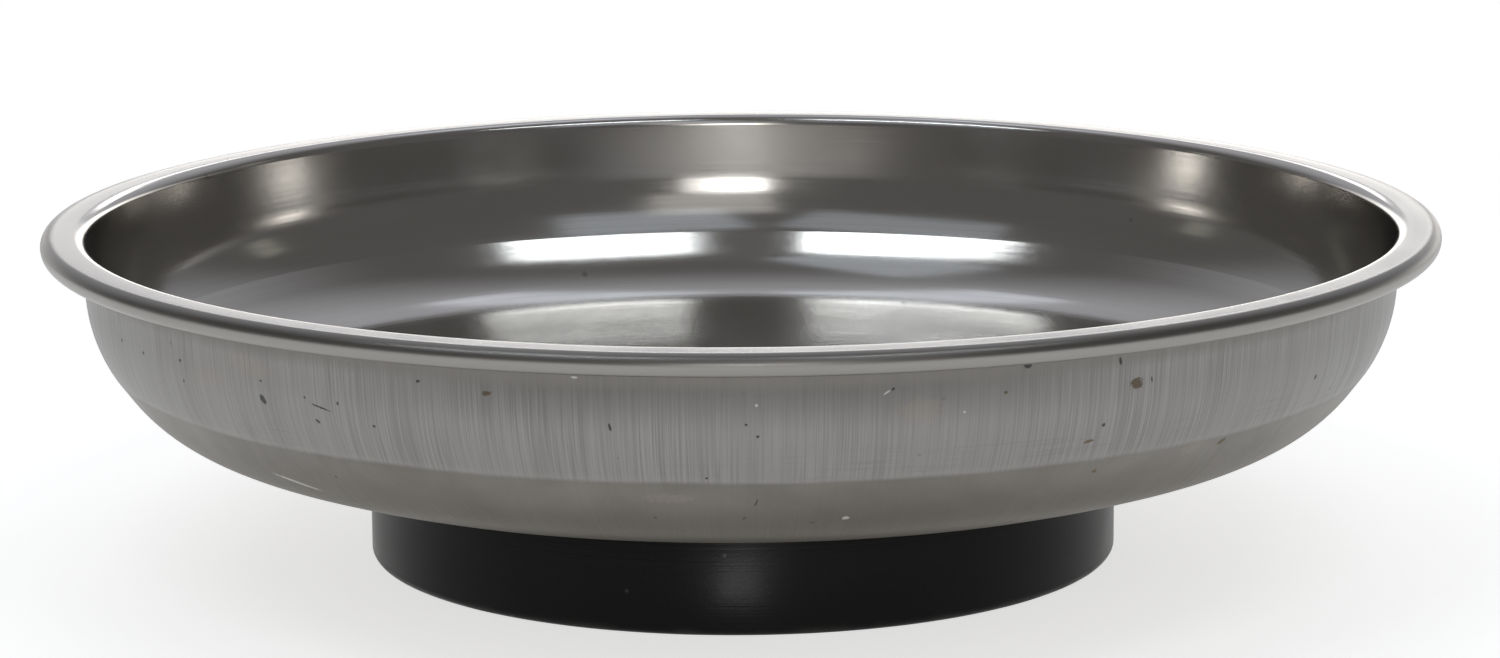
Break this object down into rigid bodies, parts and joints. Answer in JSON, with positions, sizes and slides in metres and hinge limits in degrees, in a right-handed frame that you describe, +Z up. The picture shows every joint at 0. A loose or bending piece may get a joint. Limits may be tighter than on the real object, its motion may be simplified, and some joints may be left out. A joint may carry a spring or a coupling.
{
  "type": "magnetic parts tray",
  "caption": "Round stainless parts tray with a rolled rim, standing on a rubber-covered ring magnet held by a nut on a welded stud.",
  "frame": {"origin": "centre of the base, on the surface that the tray stands on", "axes": "+Z up along the tray's own axis; the tray is round, so +X and +Y are any two directions across it"},
  "size_m": [0.15, 0.15, 0.0363],
  "materials": {
    "stainless": "mirror-like inside and on the rim; outside drawn grey with fine upright lines above a crease and satin below it",
    "stud_steel": "plain rolled thread",
    "gasket": "matt foam",
    "ferrite": "ground grey ferrite",
    "rubber": "semi-gloss moulded black",
    "zinc_plate": "bright zinc plate",
    "spring_steel": "dark oiled spring steel"
  },
  "bodies": {
    "root": {"dish": "stainless", "weld_stud": "stud_steel", "seat_gasket": "gasket", "ring_magnet": "ferrite", "rubber_boot": "rubber", "retaining_cup": "zinc_plate", "spring_washer": "spring_steel", "hex_nut": "zinc_plate"}
  },
  "joints": []
}
